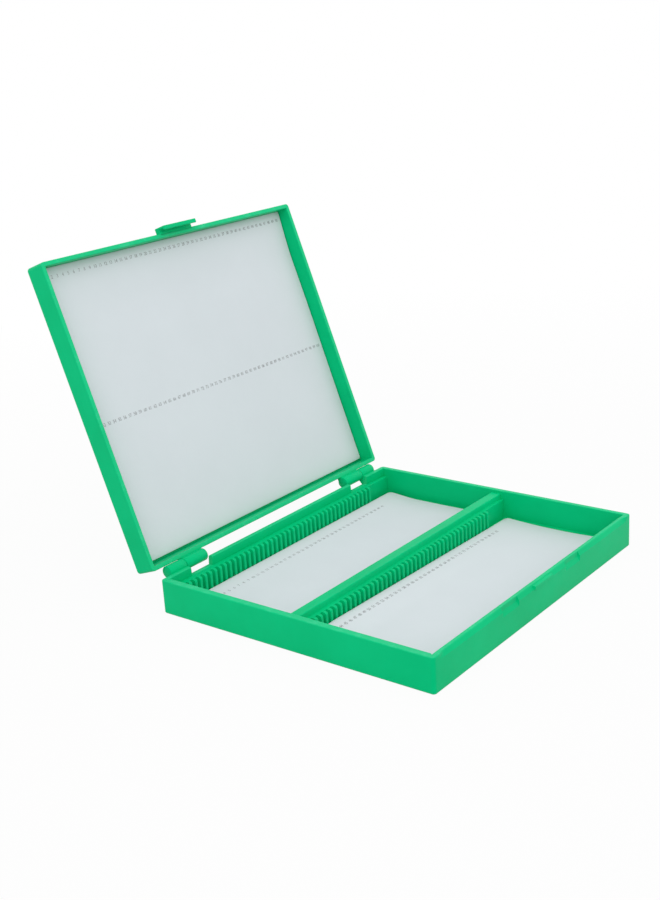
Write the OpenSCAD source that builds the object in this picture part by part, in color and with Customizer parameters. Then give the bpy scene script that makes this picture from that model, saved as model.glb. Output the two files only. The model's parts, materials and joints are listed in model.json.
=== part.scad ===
// Microscope slide box: a shallow base tray with slotted rails for two rows of slides standing
// on edge, and a hinged lid with an index sheet. Millimetres, +Z up, origin at the middle of the
// underside, +X along the hinge, +Y towards the hinge side, catch side at -Y.

/* [Slides] */
// Length of a slide, which spans from rail to rail
slide_l = 76; // [70:0.5:80]
// Play between a slide and the bottoms of its two slots
slot_play = 1.2; // [0.8:0.1:2.5]
// Distance from one slot to the next
slot_pitch = 4.08; // [3:0.02:6]
// Thickness of the ribs between the slots
rib_t = 2; // [0.7:0.1:2.4]
// Depth of the slots
rib_depth = 3; // [1.5:0.1:3.5]
// Chamfer at the upper ends of the ribs' noses
nose_c = 1.2; // [0.3:0.1:1.4]
// Plain stretch of the rails at the left end
plain_left = 12; // [5:0.5:30]
// Plain stretch of the rails at the right end
plain_right = 23.6; // [5:0.2:30]

/* [Box] */
// Outer width, along the hinge
box_w = 208; // [190:1:260]
// Thickness of the upright walls of the base and the lid
wall = 2.5; // [1.8:0.1:3]
// Radius of the upright corners
corner_r = 2; // [1:0.5:8]
// Chamfer along the outer bottom and top edges
edge_c = 0.9; // [0.3:0.1:1.5]
// Height of the base
base_h = 19.5; // [15:0.5:26]
// Thickness of the base's floor
floor_t = 2; // [1.2:0.1:2.5]
// Height of the lid
lid_h = 13.2; // [12:0.1:20]
// Thickness of the lid's panel
lid_t = 1.8; // [1.2:0.1:2.5]
// Gap between the rims when the lid is shut
rim_gap = 0.3; // [0.2:0.05:0.8]
// Angle at which the lid stands open
lid_open = 110; // [0:1:110]

/* [Rails and pads] */
// Distance of the outer rails' and their ribs' tops below the rim
rail_drop = 5.2; // [3.3:0.1:7]
// Thickness of the front and rear rails behind their slots
rail_t = 3.2; // [1.5:0.1:6]
// Thickness of the divider between the bottoms of its slots
divider_t = 10.2; // [7.5:0.1:14]
// Distance of the divider's ribs' tops below the rim
divider_rib_drop = 5.3; // [3.3:0.1:7]
// Thickness of the divider's plain upper part where it rises from between the ribs
divider_neck_t = 6.4; // [4:0.1:9.5]
// Thickness of the divider's crest
divider_top_t = 6.2; // [2:0.1:8]
// Distance of the divider's crest below the rim
divider_drop = 1.8; // [0.4:0.1:3]
// Clearance around the rails and the divider in the tray
seat_gap = 0.1; // [0.05:0.05:0.3]
// Thickness of the floor pads
pad_t = 2; // [0.5:0.1:4]
// Gap between a pad and the ribs
pad_gap = 0.4; // [0.1:0.1:2]
// Gap between a pad and the side walls
pad_end = 3.5; // [0.5:0.5:6]
// Thickness of the index sheet in the lid
sheet_t = 0.4; // [0.2:0.1:1]
// Gap between the index sheet and the lid's walls
sheet_gap = 0.6; // [0.2:0.1:2]

/* [Hinges] */
// Distance of the hinge axis behind the rear wall
hinge_out = 3.6; // [3.5:0.1:6]
// Radius of the hinge knuckles
knuckle_r = 3.2; // [2.5:0.1:3.3]
// Radius of the hinge pins
pin_r = 1; // [0.6:0.05:1.4]
// Radial running clearance of the pins in the lid's knuckles
pin_run = 0.05; // [0.03:0.01:0.1]
// Radial clearance of the pins in the base's knuckles
pin_seat = 0.02; // [0.01:0.01:0.04]
// Distance of the hinges' outer ends from the ends of the box
hinge_inset = 9; // [5:0.5:12]
// Length of a base knuckle
base_knuckle_l = 12.5; // [8:0.5:22]
// Length of a lid knuckle
lid_knuckle_l = 16.7; // [8:0.1:24]
// End gap between the two knuckles of a hinge
knuckle_gap = 0.3; // [0.2:0.05:0.8]
// How far a pin stops short of its knuckles' ends
pin_short = 0.6; // [0.2:0.1:3]
// Thickness of the webs that carry the knuckles
web_t = 3; // [2:0.1:4]
// Drop of the gusset under a base knuckle
gusset_h = 4; // [1:0.5:6]
// Depth of the notches in the rear rim below the lid's knuckles
notch_h = 5; // [2:0.5:8]
// How far a notch stops short of the lid knuckle's inner end
notch_short = 0; // [0:0.5:4]

/* [Catch] */
// Width of the lid's catch
catch_w = 27; // [16:1:60]
// Height of the catch on the lid's wall
catch_h = 3.2; // [2:0.1:8]
// Thickness of the catch's hanging lip
lip_t = 1.5; // [1:0.1:3]
// Height of the bead at the lip's lower edge
bead_h = 1.4; // [0.8:0.1:2]
// How far the bead stands in from the lip
bead_t = 0.9; // [0.3:0.1:1.5]
// Width of the catch bar on the base
bar_w = 19; // [8:1:40]
// Height of the catch bar
bar_h = 2.4; // [1:0.1:3]
// How far the catch bar stands out from the base
bar_t = 0.9; // [0.4:0.1:1.5]
// Distance of the catch bar below the rim
bar_drop = 0.4; // [0.2:0.1:1]
// Clearance between the bead and the catch bar as the lid shuts
catch_gap = 0.4; // [0.3:0.1:1]
// Gap between the catch bar and the bead below it
hook_gap = 0.5; // [0.3:0.1:1.5]
// Height of the bevel along the front wall's upper edge
bevel_h = 2.8; // [1:0.1:6]
// Depth of the bevel at the rim
bevel_t = 1.3; // [0.3:0.1:1.6]
// Width of the two finger scallops beside the catch
scallop_w = 16; // [10:1:30]
// Height of the finger scallops
scallop_h = 5.5; // [2:0.5:8]
// Depth of the finger scallops at the rim
scallop_t = 1.7; // [0.4:0.1:1.7]
// Distance of the scallops' middles from the middle of the box
scallop_x = 33; // [25:1:60]

/* [Hidden] */
$fn = 64;

green = [0.08, 0.72, 0.48];
deep_green = [0.05, 0.64, 0.38];
white = [0.85, 0.88, 0.88];
steel = [0.7, 0.72, 0.74];

// How far cuts run past the faces that they open
past = 1;
// Depth to which joined features sink into the wall that carries them
root = wall / 2;
// Least radius of an inner corner
least_r = 0.3;
// Share of a slot by which a row may fall short and still keep its last slot
count_slack = 0.001;

inner_w = box_w - 2 * wall;
inner_r = max(least_r, corner_r - wall);
// Slot bottoms: on the divider, and on the outer rails a slide's length away
slot_in = divider_t / 2;
slot_out = slot_in + slide_l + slot_play;
inner_d = 2 * (slot_out + rail_t);
box_d = inner_d + 2 * wall;
rear_y = box_d / 2;
front_y = -box_d / 2;

rail_top = base_h - rail_drop;
rail_h = rail_top - floor_t;
divider_rib_top = base_h - divider_rib_drop;
divider_top = base_h - divider_drop;
slot_count = floor((inner_w - plain_left - plain_right) / slot_pitch + count_slack);
first_rib_x = -inner_w / 2 + plain_left;

// The hinge axis lies between the two rims; the lid's rim plane is just above it when shut
rim_z = base_h + rim_gap;
hinge_y = rear_y + hinge_out;
hinge_z = base_h + rim_gap / 2;
// Ends of a hinge's knuckles, as distances from the middle of the box
base_knuckle_end = box_w / 2 - hinge_inset;
base_knuckle_start = base_knuckle_end - base_knuckle_l;
lid_knuckle_end = base_knuckle_start - knuckle_gap;
lid_knuckle_start = lid_knuckle_end - lid_knuckle_l;
notch_start = lid_knuckle_start + notch_short;
notch_l = base_knuckle_start - notch_start;

// The lip hangs in front of the catch bar, with its bead hooked below the bar
catch_out = bar_t + catch_gap + bead_t + lip_t;
lip_h = rim_gap + bar_drop + bar_h + hook_gap + bead_h;

// Rectangle with rounded corners, about the origin
module rounded_rect(w, d, r) {
    square([w - 2 * r, d], center = true);
    square([w, d - 2 * r], center = true);
    for (x = [-1, 1], y = [-1, 1])
        translate([x * (w / 2 - r), y * (d / 2 - r)]) circle(r);
}

// Strip along +X from x0 to x1 whose section is a list of [y, z] points
module strip_x(x0, x1, section) {
    translate([x0, 0, 0]) rotate([90, 0, 90]) linear_extrude(x1 - x0) polygon(section);
}

// Section of a block of width w and height h whose lower edges are chamfered by c
function chamfered(w, h, c) =
    [[-w / 2 + c, 0], [w / 2 - c, 0], [w / 2, c], [w / 2, h], [-w / 2, h], [-w / 2, c]];

// Tray standing on its chamfered outer face, open at the top
module open_tray(h, bottom_t) {
    difference() {
        intersection() {
            linear_extrude(h) rounded_rect(box_w, box_d, corner_r);
            strip_x(-box_w / 2, box_w / 2, chamfered(box_d, h, edge_c));
            rotate([0, 0, 90]) strip_x(-box_d / 2, box_d / 2, chamfered(box_w, h, edge_c));
        }
        translate([0, 0, bottom_t]) linear_extrude(h) rounded_rect(inner_w, inner_d, inner_r);
    }
}

// Space inside the base's walls, less the seating clearance, from the floor up to height h
module seat_space(h) {
    translate([0, 0, floor_t]) linear_extrude(h)
        rounded_rect(inner_w - 2 * seat_gap, inner_d - 2 * seat_gap, inner_r);
}

// Round bar on the hinge axis from x0 to x1, on the left (side -1) or the right (side 1)
module on_hinge(side, x0, x1, r) {
    translate([side > 0 ? x0 : -x1, hinge_y, hinge_z])
        rotate([0, 90, 0]) cylinder(h = x1 - x0, r = r);
}

// Strip with a [y, z] section from x0 to x1 on the left or on the right
module side_strip(side, x0, x1, section) {
    if (side > 0) strip_x(x0, x1, section);
    else strip_x(-x1, -x0, section);
}

// Turns what is drawn in the shut position about the hinge axis to the open position
module opened() {
    translate([0, hinge_y, hinge_z])
        rotate([-lid_open, 0, 0])
            translate([0, -hinge_y, -hinge_z]) children();
}

module base_knuckle(side) {
    low = hinge_z - knuckle_r;
    on_hinge(side, base_knuckle_start, base_knuckle_end, knuckle_r);
    side_strip(side, base_knuckle_start, base_knuckle_end,
               [[rear_y - root, base_h], [rear_y - root, low - gusset_h], [rear_y, low - gusset_h],
                [hinge_y, low], [hinge_y, base_h]]);
}

// Cut along the front wall's upper edge from x0 to x1: a slope of height h, deepest (t) at the rim
module front_slope(x0, x1, h, t) {
    strip_x(x0, x1, [[front_y - past, base_h - h], [front_y, base_h - h], [front_y + t, base_h],
                     [front_y + t, base_h + past], [front_y - past, base_h + past]]);
}

module base_tray() {
    color(green) difference() {
        union() {
            difference() {
                open_tray(base_h, floor_t);
                front_slope(-box_w / 2 - past, box_w / 2 + past, bevel_h, bevel_t);
            }
            base_knuckle(-1);
            base_knuckle(1);
            // catch bar on the front wall
            translate([-bar_w / 2, front_y - bar_t, base_h - bar_drop - bar_h])
                cube([bar_w, bar_t + root, bar_h]);
        }
        for (side = [-1, 1]) {
            on_hinge(side, base_knuckle_start - past, base_knuckle_end + past, pin_r + pin_seat);
            side_strip(side, notch_start, notch_start + notch_l,
                       [[rear_y - wall - past, base_h - notch_h], [rear_y + past, base_h - notch_h],
                        [rear_y + past, base_h + past], [rear_y - wall - past, base_h + past]]);
            // finger scallop
            front_slope(side * scallop_x - scallop_w / 2, side * scallop_x + scallop_w / 2,
                        scallop_h, scallop_t);
        }
    }
}

// Outer rail on the rear (side 1) or the front (side -1) wall
module outer_rail(side) {
    color(green) intersection() {
        seat_space(rail_h);
        translate([-box_w / 2, side > 0 ? slot_out : -slot_out - rail_t - wall, 0])
            cube([box_w, rail_t + wall, base_h]);
    }
}

module rear_rail() { outer_rail(1); }

module front_rail() { outer_rail(-1); }

// Row of ribs with a [y, z] section, one on each side of every slot
module rib_row(section) {
    color(deep_green)
        for (k = [0 : slot_count])
            strip_x(first_rib_x + k * slot_pitch - rib_t / 2, first_rib_x + k * slot_pitch + rib_t / 2,
                    section);
}

// Section of a rib on the rear rail: its nose points to the divider
outer_rib = [[slot_out - rib_depth, floor_t], [slot_out, floor_t], [slot_out, rail_top],
             [slot_out - rib_depth + nose_c, rail_top], [slot_out - rib_depth, rail_top - nose_c]];

// Section of a rib on the divider's rear side: its nose points to the rear rail
inner_rib = [[slot_in, floor_t], [slot_in + rib_depth, floor_t],
             [slot_in + rib_depth, divider_rib_top - nose_c],
             [slot_in + rib_depth - nose_c, divider_rib_top], [slot_in, divider_rib_top]];

module rear_ribs() { rib_row(outer_rib); }

module divider_rear_ribs() { rib_row(inner_rib); }

module divider_front_ribs() { mirror([0, 1, 0]) rib_row(inner_rib); }

module front_ribs() { mirror([0, 1, 0]) rib_row(outer_rib); }

// Divider with a broad ribbed foot and a plain neck that narrows to its crest
module center_divider() {
    half = inner_w / 2 - seat_gap;
    color(green) strip_x(-half, half,
        [[-slot_in, floor_t], [slot_in, floor_t], [slot_in, divider_rib_top],
         [divider_neck_t / 2, divider_rib_top], [divider_top_t / 2, divider_top],
         [-divider_top_t / 2, divider_top], [-divider_neck_t / 2, divider_rib_top],
         [-slot_in, divider_rib_top]]);
}

// Pad on the floor of the rear (side 1) or the front (side -1) bay
module floor_pad(side) {
    near = slot_in + rib_depth + pad_gap;
    far = slot_out - rib_depth - pad_gap;
    w = inner_w - 2 * pad_end;
    color(white) translate([-w / 2, side > 0 ? near : -far, floor_t]) cube([w, far - near, pad_t]);
}

module rear_pad() { floor_pad(1); }

module front_pad() { floor_pad(-1); }

module hinge_pin(side) {
    color(steel) on_hinge(side, lid_knuckle_start + pin_short, base_knuckle_end - pin_short, pin_r);
}

module left_hinge_pin() { hinge_pin(-1); }

module right_hinge_pin() { hinge_pin(1); }

module lid_knuckle(side) {
    on_hinge(side, lid_knuckle_start, lid_knuckle_end, knuckle_r);
    side_strip(side, lid_knuckle_start, lid_knuckle_end,
               [[rear_y - root, rim_z], [hinge_y, rim_z],
                [hinge_y, rim_z + web_t], [rear_y - root, rim_z + web_t]]);
}

// Catch on the lid's front wall: a ledge with a lip that hangs in front of the base's catch bar
module lid_catch() {
    lip_in = front_y - catch_out + lip_t;
    strip_x(-catch_w / 2, catch_w / 2,
            [[front_y + root, rim_z], [front_y + root, rim_z + catch_h],
             [front_y - catch_out, rim_z + catch_h], [front_y - catch_out, rim_z - lip_h],
             [lip_in + bead_t, rim_z - lip_h], [lip_in + bead_t, rim_z - lip_h + bead_h],
             [lip_in, rim_z - lip_h + bead_h], [lip_in, rim_z]]);
}

module lid_shell() {
    color(green) opened() difference() {
        union() {
            translate([0, 0, rim_z + lid_h]) mirror([0, 0, 1]) open_tray(lid_h, lid_t);
            lid_knuckle(-1);
            lid_knuckle(1);
            lid_catch();
        }
        for (side = [-1, 1])
            on_hinge(side, lid_knuckle_start - past, lid_knuckle_end + past, pin_r + pin_run);
    }
}

module index_sheet() {
    w = inner_w - 2 * sheet_gap;
    d = inner_d - 2 * sheet_gap;
    color(white) opened() translate([0, 0, rim_z + lid_h - lid_t - sheet_t])
        linear_extrude(sheet_t) rounded_rect(w, d, max(least_r, inner_r - sheet_gap));
}

base_tray();
rear_rail();
rear_ribs();
center_divider();
divider_rear_ribs();
divider_front_ribs();
front_rail();
front_ribs();
rear_pad();
front_pad();
left_hinge_pin();
right_hinge_pin();
lid_shell();
index_sheet();
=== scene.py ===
import json
import math

import bmesh
import bpy
import numpy as np
from mathutils import Matrix, Vector


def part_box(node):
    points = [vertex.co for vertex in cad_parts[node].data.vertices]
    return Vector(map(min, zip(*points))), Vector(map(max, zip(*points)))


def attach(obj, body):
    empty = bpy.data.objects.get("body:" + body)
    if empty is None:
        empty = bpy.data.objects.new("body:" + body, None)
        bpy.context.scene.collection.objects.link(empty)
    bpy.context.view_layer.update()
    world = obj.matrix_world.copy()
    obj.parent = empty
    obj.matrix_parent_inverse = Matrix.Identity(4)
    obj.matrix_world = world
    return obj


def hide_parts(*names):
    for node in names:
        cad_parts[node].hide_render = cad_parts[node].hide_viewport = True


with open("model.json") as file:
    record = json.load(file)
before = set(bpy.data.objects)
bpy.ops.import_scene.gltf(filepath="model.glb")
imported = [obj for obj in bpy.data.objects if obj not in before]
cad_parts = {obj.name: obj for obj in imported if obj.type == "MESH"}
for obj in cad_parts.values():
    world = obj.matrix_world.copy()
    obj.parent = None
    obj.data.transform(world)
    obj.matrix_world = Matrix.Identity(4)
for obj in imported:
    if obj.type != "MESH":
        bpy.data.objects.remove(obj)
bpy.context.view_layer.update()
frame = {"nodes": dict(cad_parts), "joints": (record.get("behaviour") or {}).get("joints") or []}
mm = 0.001  # shapes are worked out in millimetres and become metres in putMesh


def nodeBox(node):
    low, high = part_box(node)
    return np.array(low) / mm, np.array(high) / mm


hinge = frame["joints"][0]
hingeY, hingeZ = np.array(hinge["pos_m"])[1:] / mm
openAngle = math.radians(max(hinge["range_deg"]))  # from shut to the open lid of the rest pose
boxHalfX = nodeBox("base_tray")[1][0]
railLow, railHigh = nodeBox("rear_rail")
floorZ, railTop = railLow[2], railHigh[2]
print("frame loaded, hinge axis at", hingeY, hingeZ)

# Camera, fitted to the edges of the box: it looks at a point above the middle of the base

camera = dict(yaw=51.507, pitch=18.568, roll=-3.547, distance=740.15, aimHeight=40.0,
              shiftRight=39.9, shiftUp=-34.2, focalPixels=1334.27, imageHeight=900, sensor=36.0)


def makeCamera(c):
    yaw, pitch, roll = (math.radians(c[k]) for k in ("yaw", "pitch", "roll"))
    back = Vector((-math.cos(pitch) * math.sin(yaw), -math.cos(pitch) * math.cos(yaw), math.sin(pitch)))
    level = Vector((0, 0, 1)).cross(back).normalized()
    upright = back.cross(level)
    right = level * math.cos(roll) + upright * math.sin(roll)
    up = upright * math.cos(roll) - level * math.sin(roll)
    aim = Vector((0, 0, c["aimHeight"])) - right * c["shiftRight"] - up * c["shiftUp"]
    data = bpy.data.cameras.new("camera")
    data.sensor_width = c["sensor"]
    data.lens = c["focalPixels"] * c["sensor"] / c["imageHeight"]
    holder = bpy.data.objects.new("camera", data)
    turn = Matrix((right, up, back)).transposed().to_4x4()
    holder.matrix_world = Matrix.Translation((aim + back * c["distance"]) * mm) @ turn
    bpy.context.scene.collection.objects.link(holder)
    bpy.context.scene.camera = holder


makeCamera(camera)
print("camera placed")


# Shader graphs

class Wire:
    # a socket that takes + and * with numbers and other wires; each sign adds a Math node
    def __init__(self, graph, socket):
        self.graph = graph
        self.socket = socket

    def sign(self, operation, first, second):
        return self.graph.node("ShaderNodeMath", {"operation": operation}, {0: first, 1: second})

    def __add__(self, other):
        return self.sign("ADD", self, other)

    def __mul__(self, other):
        return self.sign("MULTIPLY", self, other)

    __radd__ = __add__
    __rmul__ = __mul__


class Graph:
    def __init__(self, owner):
        owner.use_nodes = True
        self.tree = owner.node_tree
        self.tree.nodes.clear()

    # any node: its type, its settings, the values or wires of its sockets, and the output that is wanted
    def node(self, kind, settings=None, sockets=None, output=0):
        made = self.tree.nodes.new(kind)
        for key, value in (settings or {}).items():
            if key == "stops":
                for stop, (place, shade) in zip(made.color_ramp.elements, value):
                    stop.position = place
                    stop.color = (shade, shade, shade, 1)
            else:
                setattr(made, key, value)
        for key, value in (sockets or {}).items():
            if isinstance(value, Wire):
                self.tree.links.new(value.socket, made.inputs[key])
            else:
                made.inputs[key].default_value = value
        return Wire(self, made.outputs[output]) if len(made.outputs) else made

    def noise(self, coords, scale, detail=2.0, roughness=0.5):
        sockets = {"Vector": coords, "Scale": scale, "Detail": detail, "Roughness": roughness}
        return self.node("ShaderNodeTexNoise", None, sockets, "Fac")

    def ramp(self, value, low, high):
        return self.node("ShaderNodeValToRGB", {"stops": [(low, 0), (high, 1)]}, {"Fac": value})

    def mixColor(self, share, first, second):
        return self.node("ShaderNodeMix", {"data_type": "RGBA"}, {0: share, 6: first, 7: second}, 2)

    def bump(self, height, strength, distance):
        sockets = {"Height": height, "Strength": strength, "Distance": distance}
        return self.node("ShaderNodeBump", None, sockets)


# a material from a function that works out the main shader's sockets on Object coordinates
def newFinish(name, paint):
    material = bpy.data.materials.new(name)
    graph = Graph(material)
    coords = graph.node("ShaderNodeTexCoord", None, None, "Object")
    sockets = paint(graph, coords)
    shader = graph.node("ShaderNodeBsdfPrincipled", None, sockets)
    graph.node("ShaderNodeOutputMaterial", None, {"Surface": shader})
    return material


# Satin moulded plastic: broad flow clouds, a fine moulded grain, and a paler green painted on the rim and
# edge roundings where the edge attribute is set, partly rubbed wear and partly a painted highlight
greenLook = dict(deep=(0.0, 0.475, 0.177, 1), light=(0.001, 0.545, 0.213, 1), wornAndHighlitGreen=(0.07, 0.64, 0.33, 1),
                 roughness=0.36, cloudRough=0.08, scuffRough=0.06, specular=0.09, sheen=(0.3, 1.0, 0.6, 1),
                 cloudScale=18.0, cloudFrom=0.3, cloudTo=0.7, grainScale=1500.0, grainBump=0.12,
                 grainHeight=0.00006, scuffScale=160.0, scuffFrom=0.5, scuffTo=0.68,
                 wearAndHighlightLeast=0.35, wearAndHighlightMix=0.5)


def paintGreen(g, coords):
    k = greenLook
    cloud = g.noise(coords, k["cloudScale"], detail=4.0, roughness=0.6)
    grain = g.noise(coords, k["grainScale"])
    scuffs = g.noise(coords, k["scuffScale"], detail=6.0, roughness=0.7)
    scuff = g.ramp(scuffs, k["scuffFrom"], k["scuffTo"])
    edge = g.node("ShaderNodeAttribute", {"attribute_name": "edgeWearAndHighlight"}, None, "Fac")
    # the paler green on the rim and edge roundings is partly rubbed wear, broken up by the scuffs, and partly
    # a painted highlight
    wornAndHighlit = edge * (k["wearAndHighlightLeast"] + (1 - k["wearAndHighlightLeast"]) * scuff)
    body = g.mixColor(g.ramp(cloud, k["cloudFrom"], k["cloudTo"]), k["deep"], k["light"])
    color = g.mixColor(wornAndHighlit * k["wearAndHighlightMix"], body, k["wornAndHighlitGreen"])
    roughness = k["roughness"] + k["cloudRough"] * cloud + k["scuffRough"] * scuff
    return {"Base Color": color, "Roughness": roughness, "Specular IOR Level": k["specular"],
            "Specular Tint": k["sheen"], "Normal": g.bump(grain, k["grainBump"], k["grainHeight"])}


# Uncoated white card: faint fibre clouds and a soft tooth
cardLook = dict(shade=(0.60, 0.645, 0.673, 1), light=(0.66, 0.705, 0.737, 1), roughness=0.72, specular=0.15,
                cloudScale=26.0, cloudShare=0.75, toothScale=2600.0, toothRough=0.15, toothBump=0.15,
                toothHeight=0.00005)


def paintCard(g, coords):
    k = cardLook
    cloud = g.noise(coords, k["cloudScale"], detail=5.0, roughness=0.65)
    tooth = g.noise(coords, k["toothScale"], detail=3.0)
    share = k["cloudShare"] * cloud + (1 - k["cloudShare"]) * tooth
    return {"Base Color": g.mixColor(share, k["shade"], k["light"]),
            "Roughness": k["roughness"] + k["toothRough"] * tooth, "Specular IOR Level": k["specular"],
            "Normal": g.bump(tooth, k["toothBump"], k["toothHeight"])}


# Printed ink: thin grey that breaks up a little over the card's tooth
inkLook = dict(dark=(0.2, 0.21, 0.22, 1), faint=(0.4, 0.42, 0.43, 1), roughness=0.6, breakScale=900.0,
               breakFrom=0.42, breakTo=0.75, breakRough=0.2)


def paintInk(g, coords):
    k = inkLook
    broken = g.ramp(g.noise(coords, k["breakScale"], detail=3.0), k["breakFrom"], k["breakTo"])
    return {"Base Color": g.mixColor(broken, k["dark"], k["faint"]),
            "Roughness": k["roughness"] + k["breakRough"] * broken}


# Drawn steel wire: fine streaks along the pin, which lies along X
steelLook = dict(dark=(0.42, 0.43, 0.44, 1), light=(0.66, 0.66, 0.65, 1), roughness=0.24,
                 streak=(120.0, 5200.0, 5200.0), streakRough=0.2, streakBump=0.1, streakHeight=0.00003)


def paintSteel(g, coords):
    k = steelLook
    along = g.node("ShaderNodeMapping", None, {"Vector": coords, "Scale": k["streak"]}, "Vector")
    streak = g.noise(along, scale=1.0, detail=3.0)
    return {"Base Color": g.mixColor(streak, k["dark"], k["light"]),
            "Roughness": k["roughness"] + k["streakRough"] * streak, "Metallic": 1.0,
            "Normal": g.bump(streak, k["streakBump"], k["streakHeight"])}


mouldedGreen = newFinish("mouldedGreen", paintGreen)
whiteCard = newFinish("whiteCard", paintCard)
printedInk = newFinish("printedInk", paintInk)
drawnSteel = newFinish("drawnSteel", paintSteel)
print("finishes made")


# Meshes from arrays

# every cell of a grid of points is a quad; a closed direction joins its last line to its first
def gridQuads(rows, cols, closedRows=False, closedCols=False):
    index = np.arange(rows * cols).reshape(rows, cols)
    if closedRows:
        index = np.vstack([index, index[:1]])
    if closedCols:
        index = np.hstack([index, index[:, :1]])
    quads = np.stack([index[:-1, :-1], index[:-1, 1:], index[1:, 1:], index[1:, :-1]], -1)
    return quads.reshape(-1, 4).tolist()


sharpAngle = math.radians(35)  # edges that turn by more than this stay sharp


# points in millimetres become a mesh with outward faces, a body to ride on and a slot for its finish
def putMesh(name, points, faces, material, body, standsFor=(), edgeWearAndHighlight=None):
    mesh = bpy.data.meshes.new(name)
    mesh.from_pydata((points.reshape(-1, 3) * mm).tolist(), [], faces)
    mesh.materials.append(material)
    shell = bmesh.new()
    shell.from_mesh(mesh)
    bmesh.ops.recalc_face_normals(shell, faces=shell.faces)
    shell.to_mesh(mesh)
    shell.free()
    mesh.shade_smooth()
    mesh.set_sharp_from_angle(angle=sharpAngle)
    # a share per point of the paler green on the edges, partly rubbed wear and partly a painted highlight
    if edgeWearAndHighlight is not None:
        mesh.attributes.new("edgeWearAndHighlight", "FLOAT", "POINT").data.foreach_set("value", edgeWearAndHighlight.ravel())
    piece = bpy.data.objects.new(name, mesh)
    bpy.context.scene.collection.objects.link(piece)
    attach(piece, body)
    if standsFor:
        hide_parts(*standsFor)
    return piece


# arc: the centre plus the radius times the cosine and sine of even turns
def roundOff(cx, cy, radius, fromDeg, toDeg, steps):
    turn = np.radians(np.linspace(fromDeg, toDeg, steps + 1))
    return np.stack([cx + radius * np.cos(turn), cy + radius * np.sin(turn)], -1)


# 0 below t = 0, 1 above t = 1, and 3 t squared less 2 t cubed between them
def smoothStep(t):
    t = np.clip(t, 0, 1)
    return t * t * (3 - 2 * t)


# 1 within half of the centre and 0 outside, with a soft edge
def window(x, centre, half, soft):
    return smoothStep((half + soft / 2 - np.abs(x - centre)) / soft)


# stations across both soft edges of a window, and one more on either side of each
def windowStops(centre, half, soft, hold=0.25):
    steps = np.concatenate([[-soft / 2 - hold], soft * np.linspace(-0.5, 0.5, 6), [soft / 2 + hold]])
    return np.concatenate([centre - half + steps, centre + half + steps])


# the lid is drawn shut and then swung about the hinge axis by the open angle
def swing(points):
    c, s = math.cos(openAngle), math.sin(openAngle)
    y, z = points[..., 1] - hingeY, points[..., 2] - hingeZ
    return np.stack([points[..., 0], hingeY + c * y + s * z, hingeZ - s * y + c * z], -1)


# Tray and lid: a wall profile of insets and heights carried round a rectangle with round corners

pathPoints = dict(long=9, short=7, corner=10)  # even points on the straight runs, steps of a corner


# outline of the box seen from above: four straight runs and four quarter circles, each point given as its
# place on the core rectangle and the outward normal there
def roundedPath(halfX, halfY, radius, frontStops=(), rearStops=()):
    flatX, flatY, cornerSteps = halfX - radius, halfY - radius, pathPoints["corner"]
    even = np.linspace(-flatX, flatX, pathPoints["long"])
    front = np.unique(np.concatenate([even, frontStops]))
    rear = np.unique(np.concatenate([even, rearStops]))[::-1]
    side = np.linspace(-flatY, flatY, pathPoints["short"])
    runs = [np.stack([front, np.full(front.shape, -halfY)], -1),
            roundOff(flatX, -flatY, radius, -90, 0, cornerSteps)[1:-1],
            np.stack([np.full(side.shape, halfX), side], -1),
            roundOff(flatX, flatY, radius, 0, 90, cornerSteps)[1:-1],
            np.stack([rear, np.full(rear.shape, halfY)], -1),
            roundOff(-flatX, flatY, radius, 90, 180, cornerSteps)[1:-1],
            np.stack([np.full(side.shape, -halfX), side[::-1]], -1),
            roundOff(-flatX, -flatY, radius, 180, 270, cornerSteps)[1:-1]]
    points = np.concatenate(runs)
    core = np.clip(points, [-flatX, -flatY], [flatX, flatY])
    return core, (points - core) / radius


# each point lies a corner radius away from the core, along its normal; an inset takes from the radius first,
# and from the core once the radius is at its least
def insetPath(core, normal, half, radius, inset, least=0.3):
    left = np.maximum(radius - inset[..., None], least)
    flat = half - inset[..., None] - left
    return np.clip(core, -flat, flat) + left * normal


# wall profile from under the floor, up the outside, over the rim and down to the floor, as insets and heights
def wallProfile(height, wall, floor, edgeRadius, rimRadius, footRadius, outerRows):
    hold = 0.25  # extra row beside each rounding, which keeps the flats flat
    arc = 4  # steps of each rounding
    inner = wall - rimRadius
    rows = [[(edgeRadius + 2 * hold, 0), (edgeRadius + hold, 0)],
            roundOff(edgeRadius, edgeRadius, edgeRadius, -90, -180, arc),
            [(0, z) for z in (edgeRadius + hold, *outerRows, height - rimRadius - hold / 2)],
            roundOff(rimRadius, height - rimRadius, rimRadius, 180, 90, arc),
            [(rimRadius + hold, height), (inner - hold, height)],
            roundOff(inner, height - rimRadius, rimRadius, 90, 0, arc),
            [(wall, height - rimRadius - hold), (wall, floor + footRadius + hold)],
            roundOff(wall + footRadius, floor + footRadius, footRadius, 180, 270, arc),
            [(wall + footRadius + hold / 2, floor), (wall + footRadius + hold, floor)]]
    return np.concatenate([np.array(r, float) for r in rows])


# quads all round the wall, one face for the underside and one for the floor
def trayFaces(rows, cols):
    underside = list(range(cols))
    floor = list(range((rows - 1) * cols, rows * cols))
    return gridQuads(rows, cols, closedCols=True) + [underside, floor]


# bands of the rim and of the outer edge that take the paler green, partly rubbed wear and partly a painted
# highlight
wearAndHighlightBands = dict(rimBand=0.5, edgeShare=0.6, edgeSoft=0.4)


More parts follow.
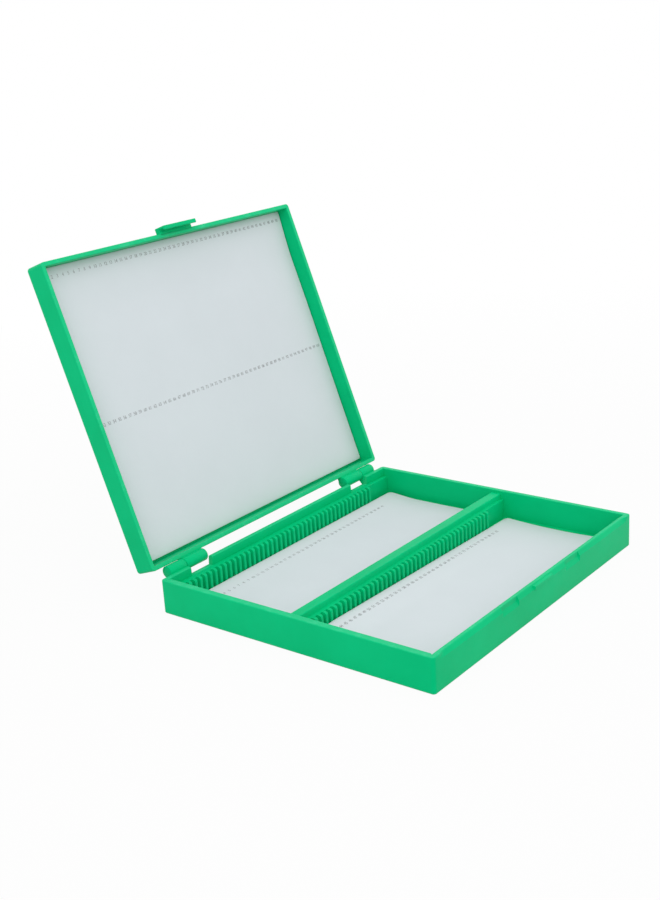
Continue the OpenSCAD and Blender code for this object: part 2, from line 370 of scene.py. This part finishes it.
# share of the paler green on the roundings of the rim and of the outer edge, partly rubbed wear and partly a
# painted highlight
def rubbing(profile, height, edgeRadius, cols):
    inset, z = profile.T
    nearRim = np.clip((z - height + wearAndHighlightBands["rimBand"]) / wearAndHighlightBands["rimBand"], 0, 1)
    nearEdge = window(z, edgeRadius / 2, edgeRadius / 2, wearAndHighlightBands["edgeSoft"]) * (inset < edgeRadius)
    return np.repeat(np.maximum(nearRim, wearAndHighlightBands["edgeShare"] * nearEdge)[:, None], cols, 1)


tray = dict(depth=176.0, height=19.5, wall=2.5, corner=2.0, edgeRadius=0.9, rimRadius=0.5, footRadius=0.7,
            notchFrom=65.5, notchTo=82.5, notchDrop=5.0, foldZ=9.0,
            bevelHalf=97.0, bevelDrop=2.8, bevelDepth=1.3, bevelSoft=6.0,
            scallopX=33.0, scallopHalf=8.0, scallopDrop=5.5, scallopDepth=1.25,
            barHalf=9.5, barLow=16.7, barHigh=18.7, barOut=0.9, soft=0.5, barSoft=0.3,
            leanLeft=1.8, leanRight=0.6, leanFront=0.8, leanRear=0.3, leanFrom=0.5, leanOver=0.25,
            scallopHold=0.2, bevelRows=(-0.25, 0.25, 1.0, 1.5), outerFace=0.01)


# the wall profile is carried round the box, and its insets and heights change from place to place
def makeTray(k):
    notchX = (k["notchFrom"] + k["notchTo"]) / 2
    notchHalf = (k["notchTo"] - k["notchFrom"]) / 2
    barZ, barHalfZ = (k["barLow"] + k["barHigh"]) / 2, (k["barHigh"] - k["barLow"]) / 2
    scallopZ, bevelZ = k["height"] - k["scallopDrop"], k["height"] - k["bevelDrop"]
    scallopStops = windowStops(k["scallopX"], k["scallopHalf"], k["soft"])
    frontStops = np.concatenate([-scallopStops, scallopStops, windowStops(0, k["barHalf"], k["barSoft"]),
                                 windowStops(0, k["bevelHalf"], k["bevelSoft"])])
    notchStops = windowStops(notchX, notchHalf, k["soft"])
    rearStops = np.concatenate([-notchStops, notchStops])
    half = np.array([boxHalfX, k["depth"] / 2])
    core, normal = roundedPath(*half, k["corner"], frontStops, rearStops)
    # rows on the outside: the fold, the foot of the scallops, the foot of the bevel and the catch bar
    scallopRows = [scallopZ - k["scallopHold"], scallopZ, scallopZ + k["scallopHold"]]
    bevelRows = [bevelZ + step for step in k["bevelRows"]]
    barRows = windowStops(barZ, barHalfZ, k["barSoft"], hold=0)
    outerRows = np.unique(np.concatenate([[k["foldZ"]], scallopRows, bevelRows, barRows]))
    profile = wallProfile(k["height"], k["wall"], floorZ, k["edgeRadius"], k["rimRadius"], k["footRadius"],
                          outerRows)
    inset, z = profile[:, :1], profile[:, 1:]
    x = core[None, :, 0]
    straight = 0.99  # a normal this close to Y belongs to a straight run
    atRear, atFront = normal[None, :, 1] > straight, normal[None, :, 1] < -straight
    # front bevel and finger scallops: the outside slopes in, by the larger of the two;
    # a scallop slopes below the bevel and then stands upright
    bevel = k["bevelDepth"] * np.clip((z - bevelZ) / k["bevelDrop"], 0, 1)
    bevel = bevel * window(x, 0, k["bevelHalf"], k["bevelSoft"])
    scallop = k["scallopDepth"] * np.clip((z - scallopZ) / (bevelZ - scallopZ), 0, 1)
    scallop = scallop * window(np.abs(x), k["scallopX"], k["scallopHalf"], k["soft"])
    narrowed = inset + np.maximum(bevel, scallop) * atFront * np.clip(1 - inset / k["wall"], 0, 1)
    # catch bar: a strip of the outside stands out
    proud = window(x, 0, k["barHalf"], k["barSoft"]) * window(z, barZ, barHalfZ, k["barSoft"])
    proud = proud * atFront * (inset < k["outerFace"])
    narrowed = narrowed * (1 - proud) - k["barOut"] * proud
    # inner faces: they lean in from the floor to the rim, each side by its own amount
    toLeft, toRight = np.clip(-normal[:, 0], 0, 1) ** 2, np.clip(normal[:, 0], 0, 1) ** 2
    toFront, toRear = np.clip(-normal[:, 1], 0, 1) ** 2, np.clip(normal[:, 1], 0, 1) ** 2
    leanIn = (k["leanLeft"] * toLeft + k["leanRight"] * toRight + k["leanFront"] * toFront
              + k["leanRear"] * toRear)
    onInside = smoothStep((inset / k["wall"] - k["leanFrom"]) / k["leanOver"])
    narrowed = narrowed + leanIn * onInside * np.clip((z - floorZ) / (k["height"] - floorZ), 0, 1)
    # hinge notches: above the fold height the wall is shortened
    drop = k["notchDrop"] * window(np.abs(x), notchX, notchHalf, k["soft"]) * atRear
    lowered = z - drop * np.clip((z - k["foldZ"]) / (k["height"] - k["foldZ"]), 0, 1)
    points = np.concatenate([insetPath(core, normal, half, k["corner"], narrowed), lowered[..., None]], -1)
    rows, cols = points.shape[:2]
    # paler green on the rim and outer edge roundings, partly rubbed wear and partly a painted highlight
    wearAndHighlight = rubbing(profile, k["height"], k["edgeRadius"], cols)
    putMesh("mouldedTray", points, trayFaces(rows, cols), mouldedGreen, "base",
            ["base_tray"], wearAndHighlight)


lid = dict(height=13.2, panel=1.8, wall=2.5, corner=2.0, edgeRadius=1.0, rimRadius=0.4, footRadius=0.5,
           sideRow=7.0, rimGap=0.3)
lidRimZ = tray["height"] + lid["rimGap"]
lidTopZ = lidRimZ + lid["height"]


# the lid is a tray turned over about X, then swung open
def turnOver(points):
    return swing(np.stack([points[..., 0], -points[..., 1], lidTopZ - points[..., 2]], -1))


# the wall profile is carried round the box unchanged
def makeLid(k):
    half = np.array([boxHalfX, tray["depth"] / 2])
    core, normal = roundedPath(*half, k["corner"])
    profile = wallProfile(k["height"], k["wall"], k["panel"], k["edgeRadius"], k["rimRadius"],
                          k["footRadius"], (k["sideRow"],))
    spread = insetPath(core, normal, half, k["corner"], np.repeat(profile[:, :1], len(core), 1))
    heights = np.broadcast_to(profile[:, None, 1:], spread.shape[:2] + (1,))
    points = turnOver(np.concatenate([spread, heights], -1))
    rows, cols = points.shape[:2]
    # paler green on the rim and outer edge roundings, partly rubbed wear and partly a painted highlight
    wearAndHighlight = rubbing(profile, k["height"], k["edgeRadius"], cols)
    putMesh("mouldedLid", points, trayFaces(rows, cols), mouldedGreen, "lid",
            ["lid_shell"], wearAndHighlight)


makeTray(tray)
makeLid(lid)
print("tray and lid moulded")

# Hinge knuckles: in each direction from the axis, the outline is the larger of a round barrel and a web

knuckle = dict(radius=3.55, boreInBase=1.02, boreInLid=1.05, root=1.2, web=3.0, gusset=4.0, soft=0.35,
               baseFrom=82.5, baseTo=95.0, lidFrom=65.5, lidTo=82.2, cap=0.4, steps=72,
               cornerTurn=0.004)


# distance from the axis to the web's outline along each turn: the cross product of a corner and its side over
# that of the ray and the side, where the ray meets the side between its ends
def webReach(turn, corners):
    ends = np.roll(corners, -1, 0)
    side = ends - corners
    ray = np.stack([np.cos(turn), np.sin(turn)], -1)[:, None]
    crossing = ray[..., 0] * side[:, 1] - ray[..., 1] * side[:, 0]
    tiny = 1e-9  # stands in for 0 where a ray runs along a side
    crossing = np.where(np.abs(crossing) < tiny, tiny, crossing)
    reach = (corners[:, 0] * side[:, 1] - corners[:, 1] * side[:, 0]) / crossing
    share = (corners[:, 0] * ray[..., 1] - corners[:, 1] * ray[..., 0]) / crossing
    return np.where((share >= 0) & (share <= 1) & (reach > 0), reach, 0).max(1)


# the bore is open where the two knuckles of a hinge meet, and the other end is capped
def knuckleShape(corners, openX, capX, bore):
    k = knuckle
    atCorners = np.arctan2(corners[:, 1], corners[:, 0])
    even = np.linspace(-math.pi, math.pi, k["steps"], endpoint=False)
    turn = np.unique(np.concatenate([even, atCorners - k["cornerTurn"], atCorners + k["cornerTurn"]]))
    reach = np.maximum(k["radius"], webReach(turn, corners))
    soft, inward = k["soft"], math.copysign(1, openX - capX)
    # rows: capped end, rounded edge, barrel, rounded edge, open end, bore and its bottom
    edgeSteps = np.array([0, 0.3, 1])  # shares of the rounding, along X and, reversed, inwards
    xs = np.concatenate([capX + inward * soft * edgeSteps, openX - inward * soft * edgeSteps[::-1],
                         [openX, capX + inward * k["cap"]]])
    cut = soft * np.concatenate([edgeSteps[::-1], edgeSteps, [0, 0]])
    radius = reach[None] - cut[:, None]
    radius[-2:] = bore
    points = np.stack([np.broadcast_to(xs[:, None], radius.shape), hingeY + radius * np.cos(turn),
                       hingeZ + radius * np.sin(turn)], -1)
    rows, cols = radius.shape
    ends = np.arange(rows * cols).reshape(rows, cols)[[0, -1]].tolist()
    return points, gridQuads(rows, cols, closedCols=True) + ends


# each hinge has a knuckle on the base, outside, and one on the lid, inside; left and right are mirrored
def makeKnuckles(k):
    wallY = tray["depth"] / 2 - hingeY
    inWall, low = wallY - k["root"], -k["radius"]
    baseTop, lidFoot = tray["height"] - hingeZ, lidRimZ - hingeZ
    baseWeb = np.array([(inWall, baseTop), (inWall, low - k["gusset"]), (wallY, low - k["gusset"]),
                        (0, low), (0, baseTop)])
    lidWeb = np.array([(inWall, lidFoot), (0, lidFoot), (0, lidFoot + k["web"]),
                       (inWall, lidFoot + k["web"])])
    for name, side in (("Left", -1), ("Right", 1)):
        points, faces = knuckleShape(baseWeb, side * k["baseFrom"], side * k["baseTo"], k["boreInBase"])
        putMesh("baseKnuckle" + name, points, faces, mouldedGreen, "base")
        points, faces = knuckleShape(lidWeb, side * k["lidTo"], side * k["lidFrom"], k["boreInLid"])
        putMesh("lidKnuckle" + name, swing(points), faces, mouldedGreen, "lid")


makeKnuckles(knuckle)

# Catch: an outline in Y and Z carried along X, with bevelled edges

catch = dict(half=13.5, ledge=3.2, out=3.7, lip=1.5, lipDrop=5.0, bead=0.9, beadHeight=1.4, root=1.2,
             bevel=0.4, bevelSteps=3)


def makeCatch(k):
    front = -tray["depth"] / 2
    outer, lipIn = front - k["out"], front - k["out"] + k["lip"]
    foot, top = lidRimZ - k["lipDrop"], lidRimZ + k["ledge"]
    outline = np.array([(front + k["root"], lidRimZ), (front + k["root"], top), (outer, top), (outer, foot),
                        (lipIn + k["bead"], foot), (lipIn + k["bead"], foot + k["beadHeight"]),
                        (lipIn, foot + k["beadHeight"]), (lipIn, lidRimZ)])
    ends = np.array([-k["half"], k["half"]])
    count = len(outline)
    spread = np.broadcast_to(outline[None], (2, count, 2))
    across = np.broadcast_to(ends[:, None, None], (2, count, 1))
    points = swing(np.concatenate([across, spread], -1))
    faces = gridQuads(2, count, closedCols=True) + [list(range(count)), list(range(count, 2 * count))]
    piece = putMesh("lidCatch", points, faces, mouldedGreen, "lid")
    edge = piece.modifiers.new("edges", "BEVEL")
    edge.width = k["bevel"] * mm
    edge.segments = k["bevelSteps"]
    edge.limit_method = "ANGLE"
    piece.modifiers.new("flats", "WEIGHTED_NORMAL").keep_sharp = True


makeCatch(catch)
print("knuckles and catch made")

# Slotted rails and divider: at each place along X the section lies between a plain one and a ribbed one

# a flat starts at its multiple of the radius from the corner
ribs = dict(thick=2.0, pitch=4.08, nose=1.5, noseFlat=1.3, noseSteps=5,
            railRound=0.35, railFlat=2, railSteps=3,
            flankSteps=(-0.15, -0.05, 0.05, 0.25), flankShares=(0, 0.05, 0.93, 1))
ribLow, ribHigh = nodeBox("rear_ribs")
slotCount = round((ribHigh[0] - ribLow[0] - ribs["thick"]) / ribs["pitch"])
firstRib = ribLow[0] + ribs["thick"] / 2
slotX = firstRib + (np.arange(slotCount) + 0.5) * ribs["pitch"]


# stations along X and the share of rib at each: a drafted flank and a rounded nose on both sides of every rib
def ribStations(endX):
    step = np.array(ribs["flankSteps"]) - ribs["thick"] / 2
    share = np.array(ribs["flankShares"])
    centres = firstRib + np.arange(slotCount + 1) * ribs["pitch"]
    x = (centres[:, None] + np.concatenate([step, -step[::-1]])).ravel()
    shares = np.tile(np.concatenate([share, share[::-1]]), slotCount + 1)
    return np.concatenate([[-endX], x, [endX]]), np.concatenate([[0], shares, [0]])


# front half of a section: from the ledge over a round edge and down to the floor
def ledgeRows(faceY, ledgeY, radius, top):
    flat = ribs["noseFlat"] * radius
    lead = [(ledgeY, top), (faceY + flat, top)]
    arc = roundOff(faceY + radius, top - radius, radius, 90, 180, ribs["noseSteps"])
    foot = [(faceY, top - flat), (faceY, (top + floorZ) / 2), (faceY, floorZ)]
    return np.concatenate([lead, arc, foot])


# section of a rail: up its back, over a round edge, and along the ledge to its front half
def railSection(faceY, radius):
    back, r = railHigh[1], ribs["railRound"]
    flat = ribs["railFlat"] * r
    rise = [(back, floorZ), (back, railTop - flat)]
    arc = roundOff(back - r, railTop - r, r, 0, 90, ribs["railSteps"])
    return np.concatenate([rise, arc, ledgeRows(faceY, back - flat, radius, railTop)])


# neck and crest are half thicknesses
divider = dict(neck=3.2, crest=3.1, crestRound=0.5, crestFlat=1.5, crestFrom=170, crestSteps=4,
               fillet=0.4, step=0.1)


# one side of the divider from its foot up to the crest, then the other side down again
def dividerSection(faceY, radius):
    k = divider
    ribTop, top, r = nodeBox("divider_front_ribs")[1][2], nodeBox("center_divider")[1][2], k["crestRound"]
    flat = k["crestFlat"] * r
    side = ledgeRows(faceY, -k["neck"] - k["fillet"], radius, ribTop)[::-1]
    rise = [(-k["neck"] - k["step"], ribTop + k["step"]), (-k["neck"], ribTop + k["fillet"]),
            (-k["crest"] - k["step"], top - flat)]
    arc = roundOff(-k["crest"] + r, top - r, r, k["crestFrom"], 90, k["crestSteps"])
    half = np.concatenate([side, rise, arc, [(-k["crest"] + flat, top)]])
    return np.concatenate([half, half[::-1] * (-1, 1)])


# at each station the section is the plain one times 1 less the share, plus the ribbed one times the share
def makeComb(name, plain, ribbed, endX, side, standsFor):
    x, share = ribStations(endX)
    sections = plain[:, None] * (1 - share[None, :, None]) + ribbed[:, None] * share[None, :, None]
    sections = sections * (side, 1)
    points = np.concatenate([np.broadcast_to(x[None, :, None], sections.shape[:2] + (1,)), sections], -1)
    rows, cols = points.shape[:2]
    index = np.arange(rows * cols).reshape(rows, cols)
    faces = gridQuads(rows, cols, closedRows=True) + [index[:, 0].tolist(), index[:, -1].tolist()]
    putMesh(name, points, faces, mouldedGreen, "base", standsFor)


slotFaceY, ribFaceY = railLow[1], ribLow[1]
plainRail = railSection(slotFaceY, ribs["railRound"])
ribbedRail = railSection(ribFaceY, ribs["nose"])
makeComb("rearComb", plainRail, ribbedRail, railHigh[0], 1, ["rear_rail", "rear_ribs"])
makeComb("frontComb", plainRail, ribbedRail, railHigh[0], -1, ["front_rail", "front_ribs"])
dividerFaceY = nodeBox("center_divider")[0][1]
dividerRibY = nodeBox("divider_front_ribs")[0][1]
plainDivider = dividerSection(dividerFaceY, ribs["railRound"])
ribbedDivider = dividerSection(dividerRibY, ribs["nose"])
makeComb("dividerComb", plainDivider, ribbedDivider, nodeBox("center_divider")[1][0], 1,
         ["center_divider", "divider_rear_ribs", "divider_front_ribs"])
print("rails and divider made with", slotCount, "slots a row")


# Cards: a section across Y carried along X, with round corners; the face is a height over X and Y

cards = dict(cornerSteps=7, runSteps=24, rows=41, edge=0.4)


def cardShape(halfX, halfY, thick, corner, face):
    turn = np.radians(np.linspace(0, 90, cards["cornerSteps"]))
    run = np.linspace(corner, halfX, cards["runSteps"])[1:]
    fromEnd = np.concatenate([corner * (1 - np.cos(turn)), run])
    narrow = corner - np.sqrt(np.clip(corner ** 2 - np.clip(corner - fromEnd, 0, None) ** 2, 0, None))
    x = np.concatenate([fromEnd - halfX, halfX - fromEnd[-2::-1]])
    width = halfY - np.concatenate([narrow, narrow[-2::-1]])
    edge = min(cards["edge"], thick / 2)
    # rows across the face as shares of the width, then a drop over each rounded edge
    rowShare = np.linspace(-1, 1, cards["rows"])
    y = rowShare[:, None] * (width - edge)[None]
    front = np.stack([np.broadcast_to(x, y.shape), y, face(x[None], y)], -1)
    rim = np.array([(0.7, 0.3), (1.0, 1.0)])  # outward and downward shares of the edge rounding
    out = np.sign(rowShare[[0, -1]])[:, None, None] * edge * rim[None, :, :1]
    sides = front[[0, -1]][:, None] + np.stack([0 * out, out, 0 * out], -1)
    sides[..., 2] -= edge * rim[None, :, 1:]
    # the back lies the thickness below the face, or on the flat ground where the face sags
    back = front[::-1].copy()
    back[..., 2] = np.maximum(back[..., 2] - thick, -thick)
    loop = np.concatenate([sides[0][::-1], front, sides[1], back])
    rows, cols = loop.shape[:2]
    index = np.arange(rows * cols).reshape(rows, cols)
    return loop, gridQuads(rows, cols, closedRows=True) + [index[:, 0].tolist(), index[:, -1].tolist()]


# Numbers: the ten digits are made once as thin meshes, then copied along a row

numbers = dict(height=1.9, thick=0.05, advance=0.6, curveSteps=2, weld=0.0001)


def digitMeshes(k):
    digits = []
    for digit in "0123456789":
        curve = bpy.data.curves.new("digit", "FONT")
        curve.body = digit
        curve.resolution_u = k["curveSteps"]
        curve.extrude = 0.5  # half of one unit, which becomes the ink's thickness
        holder = bpy.data.objects.new("digit", curve)
        bpy.context.scene.collection.objects.link(holder)
        mesh = bpy.data.meshes.new_from_object(holder.evaluated_get(bpy.context.evaluated_depsgraph_get()))
        solid = bmesh.new()
        solid.from_mesh(mesh)
        bmesh.ops.remove_doubles(solid, verts=solid.verts, dist=k["weld"])
        solid.to_mesh(mesh)
        solid.free()
        flat = np.zeros(len(mesh.vertices) * 3)
        mesh.vertices.foreach_get("co", flat)
        outline = flat.reshape(-1, 3)
        faces = [list(face.vertices) for face in mesh.polygons]
        bpy.data.objects.remove(holder)
        bpy.data.meshes.remove(mesh)
        low, high = outline.min(0), outline.max(0)
        scale = k["height"] / (high[1] - low[1])
        digits.append(((outline - (low + high) / 2) * (scale, scale, k["thick"]), faces))
    return digits


digitSet = digitMeshes(numbers)


# one mesh for a row: each number is centred on its place, digit beside digit
def numberRow(values, xs, y):
    points, faces, count = [], [], 0
    step = numbers["advance"] * numbers["height"]
    for value, x in zip(values, xs):
        word = str(value)
        for place, digit in enumerate(word):
            outline, polygons = digitSet[int(digit)]
            shift = x + (place - (len(word) - 1) / 2) * step
            points.append(outline + (shift, y, 0))
            faces += [[v + count for v in polygon] for polygon in polygons]
            count += len(outline)
    return np.concatenate(points), faces


# ink lies half sunk in a card's face, which is a height over X and Y
def inked(flat, face):
    return flat + np.concatenate([0 * flat[:, :2], face(flat[:, :1], flat[:, 1:2])], -1)


pads = dict(corner=2.5, rearRowFromEdge=10.0, frontRowFromEdge=6.4, rearSag=0.35, frontSag=1.3,
            rearCurl=1.2, frontCurl=4.2, curlFrom=0.4, dishLeast=0.15, dishFrom=-0.2, dishOver=1.2,
            frontCurlEnd=95, frontCurlOver=170)


def makePads(k):
    for name, side, node, first in (("rear", 1, "rear_pad", 1), ("front", -1, "front_pad", slotCount + 1)):
        low, high = nodeBox(node)
        middle, half, thick = (low + high) / 2, (high - low) / 2, high[2] - low[2]
        sag, curl = k[name + "Sag"], k[name + "Curl"]

        # the pad is dished between its long edges, more towards its right end, and its rear edge curls up,
        # on the front pad more towards the left end
        def face(x, y):
            along = smoothStep((x / half[0] - k["dishFrom"]) / k["dishOver"])
            dish = (1 - (y / half[1]) ** 2) * (k["dishLeast"] + (1 - k["dishLeast"]) * along)
            reach = np.clip((k["frontCurlEnd"] - x) / k["frontCurlOver"], 0, 1) if side < 0 else 1
            return curl * reach * smoothStep((y / half[1] - k["curlFrom"]) / (1 - k["curlFrom"])) - sag * dish

        points, faces = cardShape(half[0], half[1], thick, k["corner"], face)
        points = points + (middle[0], middle[1], high[2])
        putMesh(name + "PadCard", points, faces, whiteCard, "base", [node])
        rowY = half[1] - k[name + "RowFromEdge"]
        flat, faces = numberRow(range(first, first + slotCount), slotX - middle[0], rowY)
        points = inked(flat, face) + (middle[0], middle[1], high[2])
        putMesh(name + "PadNumbers", points, faces, printedInk, "base")


makePads(pads)

index = dict(thick=0.4, gap=0.6, topGap=0.1, footGap=1.6, corner=1.0, float=1.2,
             bow=0.3, bowAt=0.25, bowHalf=0.6, wave=0.3, waveX=2.3, waveShift=0.6, waveY=1.9,
             curlLeft=1.3, curlRight=2.2, curlFrom=0.6, curlOver=0.5,
             rowsFromFront=(7.8, 92.5), perRow=50, rowFrom=-97.0, rowTo=97.0)


def makeIndexSheet(k):
    halfX = boxHalfX - lid["wall"] - k["gap"]
    halfY = tray["depth"] / 2 - lid["wall"] - (k["topGap"] + k["footGap"]) / 2
    middle = np.array([0, (k["footGap"] - k["topGap"]) / 2, lid["panel"] + k["thick"]])

    # the loose card floats off the panel, bows and waves a little, and curls up along its catch side
    def face(x, y):
        bow = k["bow"] * smoothStep(1 - np.abs(y / halfY - k["bowAt"]) / k["bowHalf"])
        ripple = np.sin(k["waveX"] * x / halfX + k["waveShift"]) * np.cos(k["waveY"] * y / halfY)
        wave = k["wave"] * (1 + ripple)
        curl = k["curlLeft"] + (k["curlRight"] - k["curlLeft"]) * (x / halfX + 1) / 2
        return k["float"] + bow + wave + curl * smoothStep((y / halfY - k["curlFrom"]) / k["curlOver"])

    points, faces = cardShape(halfX, halfY, k["thick"], k["corner"], face)
    putMesh("indexCard", turnOver(points + middle), faces, whiteCard, "lid", ["index_sheet"])
    xs = np.linspace(k["rowFrom"], k["rowTo"], k["perRow"])
    for row, fromFront in enumerate(k["rowsFromFront"]):
        values = range(1 + row * k["perRow"], 1 + (row + 1) * k["perRow"])
        flat, faces = numberRow(values, xs, tray["depth"] / 2 - fromFront - middle[1])
        points = turnOver(inked(flat, face) + middle)
        putMesh("indexNumbers%d" % (row + 1), points, faces, printedInk, "lid")


makeIndexSheet(index)
print("cards and numbers made")

for pin in ("left_hinge_pin", "right_hinge_pin"):
    frame["nodes"][pin].data.materials.clear()
    frame["nodes"][pin].data.materials.append(drawnSteel)

# Floor, light and background

studio = dict(floorHalf=9000.0, floorGrey=0.62, ambient=0.86, nearGlow=0.95, glowFrom=0.3, glowTo=0.8,
              keyPower=5.5, keySize=1.2, keyPlace=(-0.85, -0.6, 0.85),
              topPower=2.0, topSize=1.2, topPlace=(0.0, -0.25, 1.3),
              fillPower=1.5, fillSize=1.2, fillPlace=(1.0, -0.6, 0.8))


# 1 for rays that see the background straight, in gloss or through glass
def seenShare(g):
    path = {name: g.node("ShaderNodeLightPath", None, None, name)
            for name in ("Is Camera Ray", "Is Glossy Ray", "Is Transmission Ray")}
    glossOrGlass = g.node("ShaderNodeMath", {"operation": "MAXIMUM"},
                          {0: path["Is Glossy Ray"], 1: path["Is Transmission Ray"]})
    return g.node("ShaderNodeMath", {"operation": "MAXIMUM"}, {0: path["Is Camera Ray"], 1: glossOrGlass})


def makeStudio(k):
    world = bpy.context.scene.world or bpy.data.worlds.new("world")
    bpy.context.scene.world = world
    g = Graph(world)
    strength = k["ambient"] + (1 - k["ambient"]) * seenShare(g)
    sky = g.node("ShaderNodeBackground", None, {"Color": (1, 1, 1, 1), "Strength": strength})
    g.node("ShaderNodeOutputWorld", None, {"Surface": sky})

    paper = bpy.data.materials.new("paleFloor")
    g = Graph(paper)
    matt = g.node("ShaderNodeBsdfDiffuse", None, {"Color": (k["floorGrey"],) * 3 + (1,)})
    glow = g.node("ShaderNodeEmission", None, {"Color": (1, 1, 1, 1), "Strength": 1.0})
    # the floor shows the box's shadow near it and fades to the white of the background further off
    coords = g.node("ShaderNodeTexCoord", None, None, "Object")
    away = g.node("ShaderNodeVectorMath", {"operation": "LENGTH"}, {0: coords}, "Value")
    fade = k["nearGlow"] + (1 - k["nearGlow"]) * g.ramp(away, k["glowFrom"], k["glowTo"])
    surface = g.node("ShaderNodeMixShader", None, {0: fade * seenShare(g), 1: matt, 2: glow})
    g.node("ShaderNodeOutputMaterial", None, {"Surface": surface})
    h = k["floorHalf"] * mm
    mesh = bpy.data.meshes.new("floor")
    mesh.from_pydata([(-h, -h, 0), (h, -h, 0), (h, h, 0), (-h, h, 0)], [], [(0, 1, 2, 3)])
    mesh.materials.append(paper)
    floor = bpy.data.objects.new("floor", mesh)
    bpy.context.scene.collection.objects.link(floor)

    for name in ("key", "top", "fill"):
        lamp = bpy.data.lights.new(name, "AREA")
        lamp.energy = k[name + "Power"]
        lamp.size = k[name + "Size"]
        holder = bpy.data.objects.new(name, lamp)
        place = Vector(k[name + "Place"])
        holder.matrix_world = Matrix.Translation(place) @ place.to_track_quat("Z", "Y").to_matrix().to_4x4()
        bpy.context.scene.collection.objects.link(holder)
    bpy.context.scene.view_settings.view_transform = "Standard"


makeStudio(studio)
print("studio lit")
